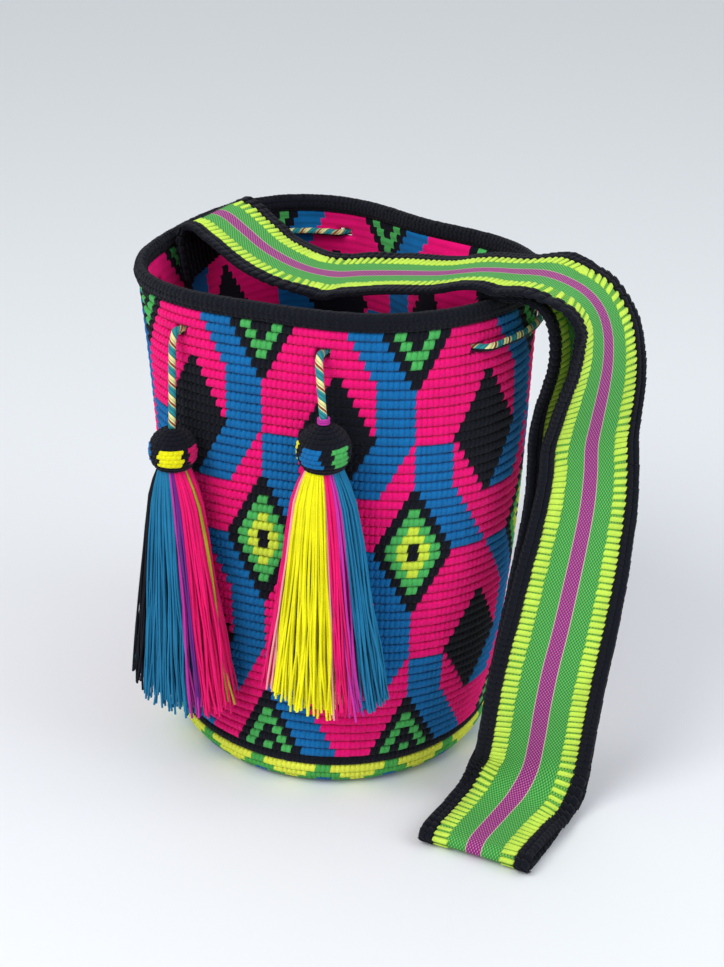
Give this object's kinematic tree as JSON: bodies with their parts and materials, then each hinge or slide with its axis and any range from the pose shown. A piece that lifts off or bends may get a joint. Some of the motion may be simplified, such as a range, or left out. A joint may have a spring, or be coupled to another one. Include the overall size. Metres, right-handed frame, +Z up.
{
  "type": "wayuu mochila bag",
  "caption": "Crocheted bucket shoulder bag with a geometric colour pattern, a wide woven strap, a drawstring and hanging yarn tassels.",
  "frame": {"origin": "the middle of the flat underside of the base, on the surface that the bag stands on", "axes": "+Z up, -Y towards the side with the two tassels, +X towards the side where the strap comes down"},
  "size_m": [0.3311, 0.362, 0.3588],
  "materials": {
    "crochet_wall": "crocheted cotton and acrylic yarn, hot pink ground with blue, black, green and yellow motifs",
    "black_yarn": "crocheted black yarn",
    "braided_cord": "braided cord in black, teal, pale yellow and red-brown",
    "blue_yarn": "loose yarn bundle",
    "yellow_yarn": "loose yarn bundle",
    "magenta_yarn": "wound yarn",
    "woven_band": "warp-faced woven band, ribbed at its sides"
  },
  "bodies": {
    "root": {"bag_body": "crochet_wall", "rim_edging": "black_yarn", "drawstring_loop": "braided_cord", "strap_band": "woven_band", "strap_edging_inner": "black_yarn", "strap_edging_outer": "black_yarn", "strap_tab_rear": "black_yarn", "strap_tab_front": "black_yarn"},
    "cord_left": {"drawstring_end_left": "braided_cord"},
    "tassel_left": {"tassel_left_head": "black_yarn", "tassel_left_skirt": "blue_yarn"},
    "cord_right": {"drawstring_end_right": "braided_cord"},
    "tassel_right": {"tassel_right_head": "black_yarn", "tassel_right_ring": "magenta_yarn", "tassel_right_skirt": "yellow_yarn"}
  },
  "joints": [
    {"name": "cord_left_swing", "type": "hinge", "parent": "root", "child": "cord_left", "pos_m": [-0.0941, -0.0873, 0.31675], "axis": [-0.7847, 0.6198, 0], "range_deg": [0, 70]},
    {"name": "tassel_left_sway", "type": "hinge", "parent": "cord_left", "child": "tassel_left", "pos_m": [-0.0978, -0.1023, 0.2577], "axis": [-0.6019, -0.7985, 0], "range_deg": [-30, 4]},
    {"name": "cord_right_swing", "type": "hinge", "parent": "root", "child": "cord_right", "pos_m": [-0.0032, -0.1284, 0.31675], "axis": [-0.9565, 0.2916, 0], "range_deg": [0, 70]},
    {"name": "tassel_right_sway", "type": "hinge", "parent": "cord_right", "child": "tassel_right", "pos_m": [-0.001, -0.144, 0.2788], "axis": [-0.2724, -0.9622, 0], "range_deg": [0, 15]}
  ]
}
